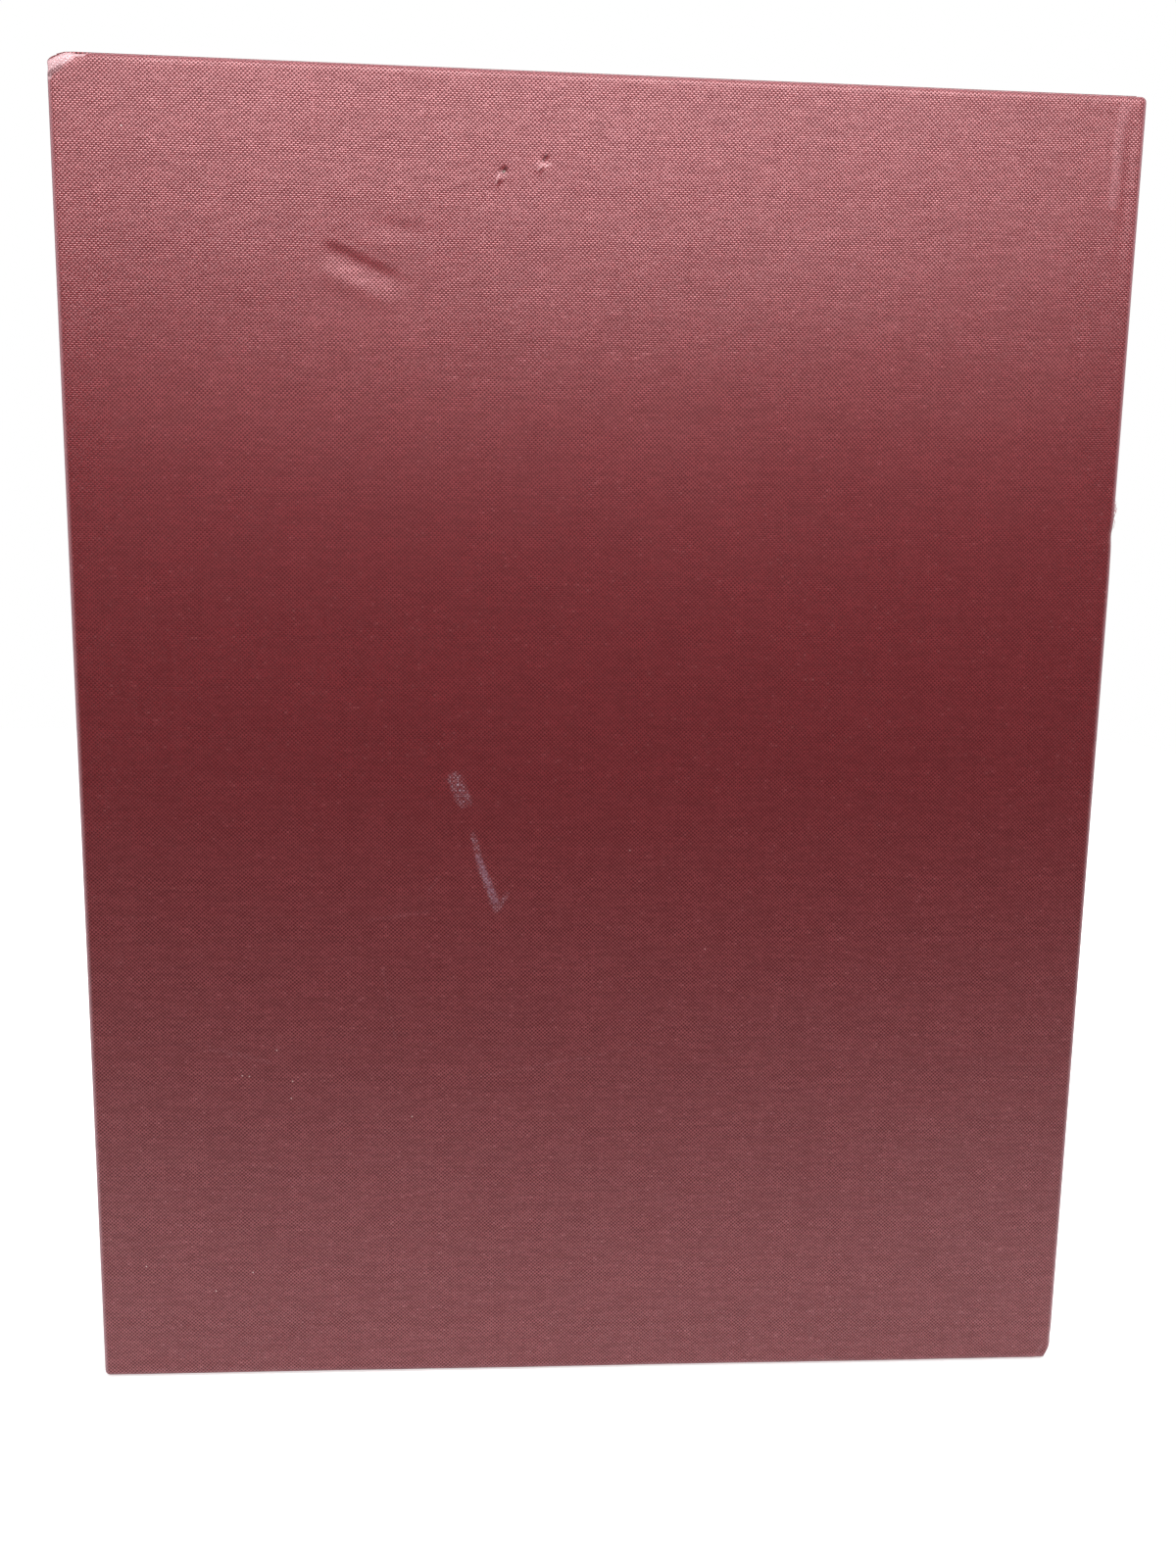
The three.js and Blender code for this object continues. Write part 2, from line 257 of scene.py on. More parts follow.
def wrap_waste(place):
    past = beyond_fold(place)
    if place.x < around[1] or place.x > around[12]:
        height = place.y - upward[2] + CLOTH + FOLD
        return height < TURN_IN_SHORTER or height > HEIGHT - TURN_IN_SHORTER
    if past <= 0:
        return False
    if place.x < around[4] or place.x > around[9]:
        return True
    if place.x < tongue or place.x > around[8] + around[5] - tongue:
        return past > LIP - FOLD
    for left, right in ((around[5], around[6]), (around[7], around[8])):
        room = past * (1 + MITRE_SPREAD)
        if left - room < place.x < right + room:
            return True
    return False


cut_away(wrap, wrap_waste)
mark_flat_size(wrap)
wrap_area = sum(face.calc_area() for face in wrap.faces) / 1e6
print("cloth in the wrap:", round(wrap_area, 4), "square metres")

# %% [markdown]
# ## Folding the wrap
#
# Two walks fold the sheet. One goes round the case as seen from above. The other goes up the
# wall and over an end, and says how far a point has moved inwards and how high it is. Where two
# folds meet, the points run together on the corner, so points on one spot are merged there.

# %% Fold
MOUTH, SPINE = -DEPTH / 2, DEPTH / 2
INNER_WALL = THICKNESS / 2 - LIP


def fold_round_case(sheet):
    for vert in sheet.verts:
        ground, outwards = walk((MOUTH + TURN_IN, -INNER_WALL), (-1, 0), wrap_walk, vert.co.x)
        inwards, height = fold_over_ends(vert.co.y)
        vert.co = (ground.x - outwards.x * inwards, ground.y - outwards.y * inwards, height)


def fold_over_ends(up):
    """How far inwards and how high a point lies that is this far up the flat sheet."""
    for edge, end, sign in ((upward[2], CLOTH, -1), (upward[3], HEIGHT - CLOTH, 1)):
        past = (up - edge) * sign
        if past > 0:
            angle = min(past, QUARTER) / FOLD
            inwards = FOLD * (1 - math.cos(angle)) + max(0, past - QUARTER)
            return inwards, end - sign * FOLD * (1 - math.sin(angle))
    return 0.0, CLOTH + FOLD + up - upward[2]


fold_round_case(wrap)
bmesh.ops.remove_doubles(wrap, verts=wrap.verts, dist=1e-4)
size = [max(v.co[i] for v in wrap.verts) - min(v.co[i] for v in wrap.verts) for i in range(3)]
print("folded wrap:", [round(s, 2) for s in size], "mm")

# %% [markdown]
# ## Knocks and creases
#
# The case has been handled. One top corner was knocked flat and the corner opposite is rubbed,
# something pressed a long crease into the front with a fainter one above it, and there are two
# nicks beside them. A bump in the finish would not change the outline, so the points of the cloth
# are moved. Each mark is a small function of where a point lies on the front, across from the
# mouth and down from the head, in millimetres.


# %% Helpers for the marks
def ease(low, high, value):
    share = min(1.0, max(0.0, (value - low) / (high - low)))
    return share * share * (3 - 2 * share)


def bell(value, centre, width):
    return math.exp(-(((value - centre) / width) ** 2))


def along_and_beside(across, down, centre, slant):
    """A point measured along a slanting line through centre, and beside it."""
    off_across, off_down = across - centre[0], down - centre[1]
    cosine, sine = math.cos(math.radians(slant)), math.sin(math.radians(slant))
    return off_across * cosine + off_down * sine, off_down * cosine - off_across * sine


# %% Depth of the marks pressed into the front
CREASE_PLACE, CREASE_SLANT, CREASE_DEEP = (69.5, 42.6), 22, 0.29
FAINT_PLACE, FAINT_SLANT, FAINT_DEEP = (76, 34.4), 6, 0.12
NICKS = [((98.9, 22.7), 118, 0.5), ((108.2, 20.0), 124, 0.4)]
RIDGE_FROM_SPINE, TROUGH_FROM_SPINE = 5.9, 3.7


def crease_depth(across, down):
    along, beside = along_and_beside(across, down, CREASE_PLACE, CREASE_SLANT)
    run = ease(-12.5, -7.5, along) * (1 - ease(1, 12, along))
    steep_then_slow = ease(-1.9, 0.7, beside) * (1 - ease(0.7, 5.6, beside))
    rim = 0.09 * bell(beside, 6.2, 2.0) - 0.05 * bell(beside, -2.6, 1.2)
    faint_along, faint_beside = along_and_beside(across, down, FAINT_PLACE, FAINT_SLANT)
    faint = FAINT_DEEP * bell(faint_along, 0, 7) * ease(-2.2, 0.2, faint_beside)
    faint *= 1 - ease(0.2, 4, faint_beside)
    return run * (CREASE_DEEP * steep_then_slow - rim) + faint


def nick_depth(across, down, centre, slant, deep):
    along, beside = along_and_beside(across, down, centre, slant)
    cut = bell(along, -0.9, 0.75) * bell(beside, 0, 0.5)
    flake = bell(along, 1.1, 1.0) * bell(beside, 0.2, 0.6)
    return deep * cut - 0.6 * deep * flake


def spine_edge_ridge(across, down):
    run = ease(4, 9, down) * (1 - ease(20, 52, down))
    ridge = 0.10 * bell(across, DEPTH - RIDGE_FROM_SPINE, 0.75) * (1 - ease(18, 30, down))
    trough = 0.13 * bell(across, DEPTH - TROUGH_FROM_SPINE, 1.3)
    return run * (trough - ridge)


def front_depth(across, down):
    depth = crease_depth(across, down) + spine_edge_ridge(across, down)
    for centre, slant, deep in NICKS:
        depth += nick_depth(across, down, centre, slant, deep)
    return depth


# %% Knocked and rubbed corners
FRONT = -THICKNESS / 2
HEAD_CORNER, HEAD_LOST, HEAD_SOFTNESS = (MOUTH, FRONT, HEIGHT - CLOTH), (-6, -3.4, 2.8), 0.16
FOOT_CORNER, FOOT_LOST, FOOT_SOFTNESS = (SPINE, FRONT, CLOTH), (2.4, -3, -5), 0.2
RUBBED_DOWN = 98.6


def press_flat(place, corner, lost, softness, dimple):
    """Moves a point that lies past a slanting plane at a corner back onto it. The plane meets
    the three edges of the corner at the lengths in lost."""
    slope = Vector(1 / side for side in lost)
    outwards = slope.normalized()
    past = (place - Vector(corner)).dot(outwards) + 1 / slope.length
    if past < -6:
        return place
    pressed = softness * math.log1p(math.exp(min(past / softness, 30)))
    return place - outwards * (pressed + dimple * bell(past, -0.95, 0.62))


def near_spine_edge(place, width):
    return bell((place - Vector((SPINE, FRONT, place.z))).length, 0, width)


def wear(place):
    across, down = place.x - MOUTH, HEIGHT - place.z
    if place.y < FRONT + FOLD:
        off_edge = ease(0, 1.5, across) * ease(0, 1.5, DEPTH - across)
        place = place + Vector((0, off_edge * front_depth(across, down), 0))
    marked = bell(down, RUBBED_DOWN, 2.3) * near_spine_edge(place, 2)
    place = place + 0.32 * marked * Vector((-0.7, 0.7, 0))
    frayed_below = ease(97, 99, down) * (1 - ease(101, 112, down))
    place.x -= 0.18 * frayed_below * near_spine_edge(place, 2.4)
    waves = noise.noise(place * 0.021) * 0.22 + noise.noise(place * 0.09 + Vector((7, 3, 1))) * 0.05
    place = place + Vector((0, waves * ease(0, 20, across) * ease(0, 20, DEPTH - across), 0))
    place = press_flat(place, HEAD_CORNER, HEAD_LOST, HEAD_SOFTNESS, dimple=0.32)
    return press_flat(place, FOOT_CORNER, FOOT_LOST, FOOT_SOFTNESS, dimple=0.12)


for vert in wrap.verts:
    vert.co = wear(vert.co.copy())
print("points moved by wear:", len(wrap.verts))

# %% [markdown]
# ## From a sheet to a piece of cloth
#
# The sheet is the outer side of the cloth. Solidify gives it its thickness inwards, towards the
# board, so the outside keeps its size. The piece rides on the case's only body and stands for
# the plain solid.


# %% Finish a piece of cloth
def object_from(name, mesh_in_mm):
    bmesh.ops.scale(mesh_in_mm, vec=(0.001, 0.001, 0.001), verts=mesh_in_mm.verts)
    data = bpy.data.meshes.new(name)
    mesh_in_mm.to_mesh(data)
    mesh_in_mm.free()
    data.shade_smooth()
    piece = bpy.data.objects.new(name, data)
    bpy.context.scene.collection.objects.link(piece)
    return piece


def cloth_piece(name, sheet, stands_for):
    piece = object_from(name, sheet)
    thick = piece.modifiers.new("cloth_thickness", "SOLIDIFY")
    thick.thickness = CLOTH / 1000
    thick.offset = -1
    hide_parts(stands_for)
    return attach(piece, "root")


folded_wrap = cloth_piece("folded_wrap", wrap, "cloth_wrap")
wrap_long / 1000
wrap_high / 1000
middle = min(
    folded_wrap.data.polygons,
    key=lambda p: (p.center - Vector((0, FRONT, HEIGHT / 2)) / 1000).length,
)
print("the front faces", tuple(round(c) for c in middle.normal))

# %% [markdown]
# ## The strips on the head and the tail
#
# Each strip is a straight piece of the same cloth. It lies over the flaps of the wrap, sinks
# onto the board between them, goes round the mouth edge of its board and is pasted down inside.
# It is cut narrower where it turns in, because it has to pass between the two sides. The same
# walk folds it, this time seen from the side, and the step where it leaves the flaps is soft,
# as cloth that was rubbed down with a bone folder is.

# %% Strip folded over an end
strip_walk = [
    SPINE - STRIP_INSET - (MOUTH + FOLD), "turn", LIP + CLOTH - 2 * FOLD, "turn",
    STRIP_TURN_IN - FOLD,
]
strip_long = sum(QUARTER if step == "turn" else step for step in strip_walk)


def strip_sheet():
    fold = strip_walk[0]
    on_top = THICKNESS / 2 - STRIP_INSET
    inside = INNER_WALL - 0.3
    sheet = flat_sheet(
        [
            (0, 2), (11.2, 0.5), (13.6, 4), (fold - 6, 2), (fold, 0.46), (fold + QUARTER, 0.6),
            (fold + QUARTER + LIP + CLOTH - 2 * FOLD, 0.46),
            (strip_long - STRIP_TURN_IN + FOLD, 3), (strip_long, 1),
        ],
        [
            (-on_top, 1), (-inside, 3), (-10.2, 0.4), (-8, 4), (8, 0.4), (10.2, 3), (inside, 1),
            (on_top, 1),
        ],
    )
    cut_away(sheet, lambda place: place.x > fold and abs(place.y) > inside)
    mark_flat_size(sheet)
    return sheet


def fold_strip(sheet, end):
    for vert in sheet.verts:
        along, wide = vert.co.x, vert.co.y
        ground, outwards = walk((SPINE - STRIP_INSET, 0), (-1, 0), strip_walk, along)
        clear_of_flaps = ease(-9.9, -8.5, -abs(wide)) * ease(11.4, 13.4, along)
        ground = ground - outwards * CLOTH * clear_of_flaps
        height = HEIGHT + ground.y if end == "head" else -ground.y
        vert.co = (ground.x, wide, height)
        if end == "head":
            vert.co = press_flat(vert.co, HEAD_CORNER, HEAD_LOST, HEAD_SOFTNESS, dimple=0)


strips = {}
for end, stands_for in (("head", "head_strip"), ("tail", "tail_strip")):
    sheet = strip_sheet()
    strip_area = sum(face.calc_area() for face in sheet.faces) / 1e6
    fold_strip(sheet, end)
    if end == "head":
        bmesh.ops.reverse_faces(sheet, faces=sheet.faces)
    strips[end] = cloth_piece("pasted_" + end + "_strip", sheet, stands_for)
    strip_long / 1000
    end + "_board"
    top = max(strips[end].data.polygons, key=lambda p: p.area)
    print(end, "strip faces", tuple(round(c) for c in top.normal))

# %% [markdown]
# ## Loose threads
#
# Cloth frays where it is rubbed through. On the spine edge a few ends of thread stand out in
# small loops, and the knocked corner has a fringe of fibres. A hair particle system would not
# be exported, so each thread is a thin hexagonal tube: a small circle that is extruded from
# point to point. The places come from a seeded random number, so they are the same each time.


# %% Thin thread through points
def thread(mesh, points, radius):
    ring = bmesh.ops.create_circle(mesh, cap_ends=False, segments=6, radius=radius)["verts"]
    ahead = (points[1] - points[0]).normalized()
    turn = ahead.to_track_quat("Z", "Y").to_matrix()
    bmesh.ops.transform(mesh, matrix=Matrix.Translation(points[0]) @ turn.to_4x4(), verts=ring)
    edges = list({edge for vert in ring for edge in vert.link_edges})
    bmesh.ops.contextual_create(mesh, geom=edges)
    for here, there in zip(points, points[1:]):
        made = bmesh.ops.extrude_edge_only(mesh, edges=edges)["geom"]
        ring = [item for item in made if isinstance(item, bmesh.types.BMVert)]
        edges = [
            item for item in made
            if isinstance(item, bmesh.types.BMEdge) and all(v in ring for v in item.verts)
        ]
        bmesh.ops.translate(mesh, vec=there - here, verts=ring)
    bmesh.ops.contextual_create(mesh, geom=edges)


def loop_of_thread(start, end, lift, droop, count=7):
    points = []
    for i in range(count):
        share = i / (count - 1)
        bow = math.sin(math.pi * share)
        swing = bow * math.sin(math.pi * 2 * share)
        points.append(start.lerp(end, share) + lift * bow + droop * swing)
    return points


# %% Frayed threads on the spine edge and the fringe of the knocked corner
SPINE_THREADS, CORNER_FIBRES = 9, 46
SPINE_THREAD_RADIUS, CORNER_FIBRE_RADIUS = 0.055, 0.03
FRAYED_FROM, FRAYED_TO = 90.4, 95.5
FRINGE_START, FRINGE_RUN = Vector((MOUTH + 0.9, -22.6, HEIGHT - 3.1)), Vector((5.2, 0, 2.2))
rng = random.Random(4)
frayed = bmesh.new()
edge_outwards = Vector((0.8, -0.6, 0))
for i in range(SPINE_THREADS):
    top = HEIGHT - rng.uniform(FRAYED_FROM, FRAYED_TO)
    start = Vector((SPINE - 0.30, FRONT + 0.5, top))
    end = start + Vector((rng.uniform(-0.2, 0.1), rng.uniform(-0.2, 0.2), -rng.uniform(0.8, 2.6)))
    lift = edge_outwards * rng.uniform(0.18, 0.42)
    loop = loop_of_thread(start, end, lift, Vector((0.08, 0, 0.1)))
    thread(frayed, loop, SPINE_THREAD_RADIUS)
for i in range(CORNER_FIBRES):
    start = FRINGE_START + FRINGE_RUN * rng.random() + Vector((0, rng.uniform(-0.5, 0.5), 0))
    away = Vector((rng.uniform(-0.6, 0.1), rng.uniform(-0.5, 0.2), rng.uniform(0.3, 0.7)))
    end = start + away * rng.uniform(0.5, 1.1)
    fibre = loop_of_thread(start, end, Vector((0, -0.1, 0.06)), Vector((0, 0, 0)), 4)
    thread(frayed, fibre, CORNER_FIBRE_RADIUS)
bmesh.ops.recalc_face_normals(frayed, faces=frayed.faces)
frayed_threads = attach(object_from("frayed_threads", frayed), "root")
print("faces in the threads:", len(frayed_threads.data.polygons))

# %% [markdown]
# ## Sums on sockets
#
# A finish is a tree of nodes. Placing each Math node by hand hides the formula, so one small
# class wraps a socket: a sum that is written on it adds the Math nodes. All other nodes come
# from one method, which sets the node's own settings first and then its sockets.


# %% Finish and Value
class Value:
    """One output of a node, which takes part in sums."""

    def __init__(self, finish, socket):
        self.finish, self.socket = finish, socket

    def math(self, operation, *numbers):
        sockets = dict(enumerate(numbers))
        return self.finish.node("ShaderNodeMath", {"operation": operation}, sockets)

    def __add__(self, other):
        return self.math("ADD", self, other)

    def __radd__(self, other):
        return self.math("ADD", other, self)

    def __sub__(self, other):
        return self.math("SUBTRACT", self, other)

    def __rsub__(self, other):
        return self.math("SUBTRACT", other, self)

    def __mul__(self, other):
        return self.math("MULTIPLY", self, other)

    def __rmul__(self, other):
        return self.math("MULTIPLY", other, self)

    def __truediv__(self, other):
        return self.math("DIVIDE", self, other)

    def floor(self):
        return self.math("FLOOR", self)

    def cosine(self):
        return self.math("COSINE", self)

    def root(self):
        return self.math("SQRT", self)

    def at_least(self, other):
        return self.math("MAXIMUM", self, other)

    def at_most(self, other):
        return self.math("MINIMUM", self, other)

    def step(self, low, high):
        """0 below low, 1 above high, and a soft rise between them."""
        return self.finish.node(
            "ShaderNodeMapRange", {"interpolation_type": "SMOOTHSTEP"},
            {"Value": self, "From Min": low, "From Max": high},
        )


class Finish:
    """The nodes of a material or of the room, and the one way to make a node."""

    def __init__(self, owner):
        self.owner = owner
        owner.use_nodes = True
        self.tree = owner.node_tree
        self.tree.nodes.clear()

    def node(self, kind, settings=None, sockets=None, out=None):
        made = self.tree.nodes.new(kind)
        for name, setting in (settings or {}).items():
            setattr(made, name, setting)
        for name, value in (sockets or {}).items():
            if isinstance(name, int):
                socket = made.inputs[name]
            else:
                socket = next(s for s in made.inputs if s.enabled and s.name == name)
            if isinstance(value, Value):
                self.tree.links.new(value.socket, socket)
            else:
                socket.default_value = value
        shown = [s for s in made.outputs if s.enabled and (out is None or s.name == out)]
        return Value(self, shown[0]) if shown else made

    def mix(self, factor, first, second):
        return self.node(
            "ShaderNodeMix", {"data_type": "RGBA"}, {"Factor": factor, "A": first, "B": second}
        )

    def split(self, vector):
        made = self.node("ShaderNodeSeparateXYZ", None, {"Vector": vector}).socket.node
        return [Value(self, made.outputs[axis]) for axis in "XYZ"]

    def join(self, x, y, z):
        return self.node("ShaderNodeCombineXYZ", None, {"X": x, "Y": y, "Z": z})

    def clouds(self, place, scale, detail=2.0, roughness=0.5, out="Fac"):
        return self.node(
            "ShaderNodeTexNoise", {"noise_dimensions": "3D"},
            {"Vector": place, "Scale": scale, "Detail": detail, "Roughness": roughness}, out,
        )

    def surface(self, shader):
        self.node("ShaderNodeOutputMaterial", None, {"Surface": shader})
        return self.owner


def new_finish(name):
    return Finish(bpy.data.materials.new(name))


def paint(red, green, blue):
    """A colour given as it looks on a screen, 0 to 255, as the light that it stands for."""
    light = []
    for part in (red / 255, green / 255, blue / 255):
        light.append(part / 12.92 if part <= 0.04045 else ((part + 0.055) / 1.055) ** 2.4)
    return (*light, 1.0)


# %% [markdown]
# ## Book cloth
#
# Book cloth is a plain weave of dyed threads, filled so that paste does not come through. Seen
# from close by, each thread crosses over one and under the next. A picture of cloth would tile
# and blur, so the weave is worked out from the flat map of each piece, in millimetres: one wave
# along each set of threads says which is on top, and one wave across makes each thread round.
# Threads wander a little and differ in thickness, which gives the fine streaks, and here and
# there a stitch has a fibre that took no dye.

# %% Pitch of the threads, in millimetres
WARP_PITCH, WEFT_PITCH = 0.4598, 0.4486
THREAD_RELIEF = 0.06
WANDER_ACROSS, WANDER_UP = 0.6, 0.5
UNEVEN_ACROSS, UNEVEN_UP = 0.22, 0.14
OVER_AND_UNDER = 0.40
WEFT_ROUNDNESS, WARP_ROUNDNESS = 0.16, 0.12
BARE_FROM, BARE_FULLY = 0.984, 0.996

# The deep colour is a painted shade for the gaps and the deeper warp. The crown colour is the lit
# weft on top.
CLOTH_SHADED_DEEP = paint(74, 12, 16)
CLOTH_LIT_CROWN = paint(133, 38, 44)
print("threads over the front:", round(DEPTH / WARP_PITCH), "x", round(HEIGHT / WEFT_PITCH))


# %% Weave
def plain_weave(finish):
    """The height of the cloth, from 0 to about 1, masks of the places where the weft is on top
    and of stitches of undyed fibre, and the place on the flat cloth."""
    flat = finish.node("ShaderNodeUVMap", {"uv_map": "flat_cloth"})
    in_mm = finish.node("ShaderNodeVectorMath", {"operation": "SCALE"}, {0: flat, "Scale": 1000.0})
    x, y, _ = finish.split(in_mm)
    drift = finish.clouds(in_mm, 0.05, 3.0, 0.6, "Color")
    drift_x, drift_y, _ = finish.split(drift)
    jitter = finish.clouds(finish.join(x * 0.30, y * 0.55, 4.5), 1.0, 2.0, 0.6, "Color")
    jitter_x, jitter_y, _ = finish.split(jitter)
    x = x + (drift_x - 0.5) * WANDER_ACROSS + (jitter_x - 0.5) * UNEVEN_ACROSS
    y = y + (drift_y - 0.5) * WANDER_UP + (jitter_y - 0.5) * UNEVEN_UP
    warp, weft = x / WARP_PITCH, y / WEFT_PITCH
    column, row = warp.floor(), weft.floor()
    stitch = finish.node(
        "ShaderNodeTexWhiteNoise", {"noise_dimensions": "3D"},
        {"Vector": finish.join((column * 0.5).floor(), row, 1.0)}, "Value",
    )

    weft_streak = finish.clouds(finish.join(x * 0.20, row * 0.71, 2.5), 1.0, 2.0)
    warp_streak = finish.clouds(finish.join(column * 0.71, y * 0.07, 8.5), 1.0, 2.0)
    weft_over = ((warp + row - 0.5) * math.pi).cosine()
    warp_over = ((weft + column - 0.5) * math.pi).cosine()
    weft_round = ((weft - 0.5) * (2 * math.pi)).cosine()
    warp_round = ((warp - 0.5) * (2 * math.pi)).cosine()
    weft_height = weft_over * OVER_AND_UNDER + weft_round * WEFT_ROUNDNESS
    weft_height = weft_height + (weft_streak - 0.5) * 0.45 + (stitch - 0.5) * 0.4 + 0.04
    warp_height = warp_over * -OVER_AND_UNDER + warp_round * WARP_ROUNDNESS
    warp_height = warp_height + (warp_streak - 0.5) * 0.4 - 0.1
    weft_shows = (weft_height - warp_height).step(-0.35, 0.35)
    weft_shows = weft_shows * (0.82 + weft_streak.step(0.34, 0.62) * 0.18)
    bare_stitch = stitch.step(BARE_FROM, BARE_FULLY) * weft_shows.step(0.3, 0.8)
    return weft_height.at_least(warp_height) + 0.3, weft_shows, bare_stitch, in_mm


# %% [markdown]
# ## Rubs, scratches, specks and painted light
#
# Each mark on the front has a place, across from the mouth and down from the head, in
# millimetres. A rub whitens the crowns of the threads and leaves the hollows between them, so
# its mask is multiplied by the height of the weave. A line mark is everything within a width of
# the stretch between two points. The edges, where two sides of the case meet, are painted pale:
# a painted highlight on their rounding, with wear. Some line marks are painted light as well:
# painted shadow in the nicks and in the dimple of the knocked corner, painted highlight on the
# ridge beside the spine edge and on the foot corner, and painted highlight with wear on the rim
# of the knocked corner.


# %% Line marks and specks
def line_mark(across, down, start, end, width):
    run_x, run_y = end[0] - start[0], end[1] - start[1]
    long = run_x**2 + run_y**2
    from_x, from_y = across - start[0], down - start[1]
    share = ((from_x * run_x + from_y * run_y) / long).at_least(0.0).at_most(1.0)
    off_x, off_y = from_x - share * run_x, from_y - share * run_y
    distance = (off_x * off_x + off_y * off_y).root()
    return 1 - distance.step(width * 0.45, width)


def specks(across, down, places, radius):
    nearest = None
    for x, y in places:
        off_x, off_y = across - x, down - y
        distance = off_x * off_x + off_y * off_y
        nearest = distance if nearest is None else nearest.at_most(distance)
    return 1 - nearest.root().step(radius * 0.6, radius)


# %% Places of the marks
RUB_PATCH = [((88.6, 159.4), (90.8, 164.6), 2.3)]
RUB_STREAK = [((93.0, 173.0), (95.0, 181.0), 1.0), ((95.0, 181.0), (98.9, 191.0), 1.5)]
RUB_CORE = [((94.2, 178.4), (98.4, 189.4), 1.0)]
RUB_TICK = [((101.2, 187.4), (99.2, 191.4), 0.8)]
SCRATCHES = [
    ((68.0, 194.2), (82.0, 192.0), 0.5), ((82.0, 187.2), (84.8, 183.2), 0.5),
    ((71.0, 206.0), (74.0, 224.0), 0.35), ((29.0, 226.4), (43.0, 230.0), 0.9),
    ((95.0, 234.0), (131.0, 227.4), 0.35), ((118.6, 4.6), (122.6, 1.6), 0.9),
]
# Painted highlight on the ridge beside the spine edge and on the pressed foot corner.
SHEEN_LINES = [
    ((240.6, 3.0), (239.8, 14.0), 1.9), ((239.8, 14.0), (239.6, 24.0), 1.7),
    ((243.4, 309.4), (241.6, 312.6), 0.5),
]
# The rim of the knocked head corner is painted pale: a painted highlight where it faces the light,
# with wear.
CORNER_RIM = [
    ((0.9, 3.4), (4.8, 1.2), 1.9), ((0.5, 3.2), (0.6, 5.8), 1.0), ((4.6, 1.0), (8.0, 1.0), 0.9),
]
PALE_FLAKES = [
    ((97.6, 24.4), (98.3, 22.6), 0.32), ((98.3, 22.6), (99.0, 21.6), 0.24),
    ((107.0, 21.3), (108.2, 20.0), 0.36), ((108.6, 20.6), (109.9, 19.9), 0.28),
]
# Painted shadow in the two nicks and in the dimple of the knocked corner.
HOLLOW_SHADOWS = [
    ((98.9, 22.2), (99.9, 21.1), 0.32), ((108.1, 19.4), (108.8, 18.1), 0.30),
    ((0.9, 5.4), (3.0, 3.9), 0.9),
]
WHITE_SPECKS = [
    (78.0, 244.4), (36.6, 233.5), (38.3, 233.7), (48.8, 235.0), (45.1, 227.0), (48.4, 239.4),
    (38.0, 285.5), (28.7, 290.4), (11.7, 283.5), (15.8, 15.4), (131.0, 176.5), (150.2, 201.3),
]
print("scratches:", len(SCRATCHES), "specks:", len(WHITE_SPECKS))

# %% Colours of the marks
# The pale pink is a painted highlight on the rounded edges and on the ridge, with wear on the
# edges.
SHEEN_AND_WEAR_PINK = paint(206, 160, 168)
BARE_FIBRE = paint(222, 150, 152)
RUB_GREY, RUB_CORE_GREY = paint(206, 190, 206), paint(146, 110, 128)
SCRATCH_PINK, SPECK_WHITE = paint(176, 124, 130), paint(226, 205, 196)
# The corner's pale is a painted highlight with wear on the knocked corner's rim.
CORNER_PALE, FLAKE_PINK = paint(236, 200, 204), paint(226, 176, 178)
# A painted shadow colour for the nicks and the corner's dimple.
SHADOW_RED = paint(58, 14, 18)

# %% [markdown]
# ## How the cloth takes the light
#
# The weft lies on top and was polished by the press that filled the cloth, so it is smooth and
# mirrors the light. The warp lies deeper and is rougher. One shader for both would lose the
# fine pattern in the bright part near the head, so each has its own, and the weave mixes them.
# The marks change the colour that both share, and a rub dulls the cloth as well.

# %% Gloss of the two sets of threads
WEFT_ROUGHNESS, WARP_ROUGHER = 0.285, 0.25
WEFT_TINT, WARP_TINT = (1.0, 0.62, 0.65, 1.0), (1.0, 0.56, 0.60, 1.0)

# %% Painted highlight and wear on the edges of the case
EDGE_SHEEN_WIDTH = 1.5


def edge_sheen_and_wear(x, y, down):
    """1 where two sides of the case meet, for a painted highlight with wear. A place in metres, and
    how far down it is.
    """
    end = ((x * x).root() * 1000).step(DEPTH / 2 - EDGE_SHEEN_WIDTH, DEPTH / 2 - 0.2)
    side = ((y * y).root() * 1000).step(THICKNESS / 2 - EDGE_SHEEN_WIDTH, THICKNESS / 2 - 0.3)
    level = (1 - down.step(0.2, 1.6)).at_least(down.step(HEIGHT - 1.2, HEIGHT - 0.2))
    return (end * side).at_least(side * level).at_least(end * level)


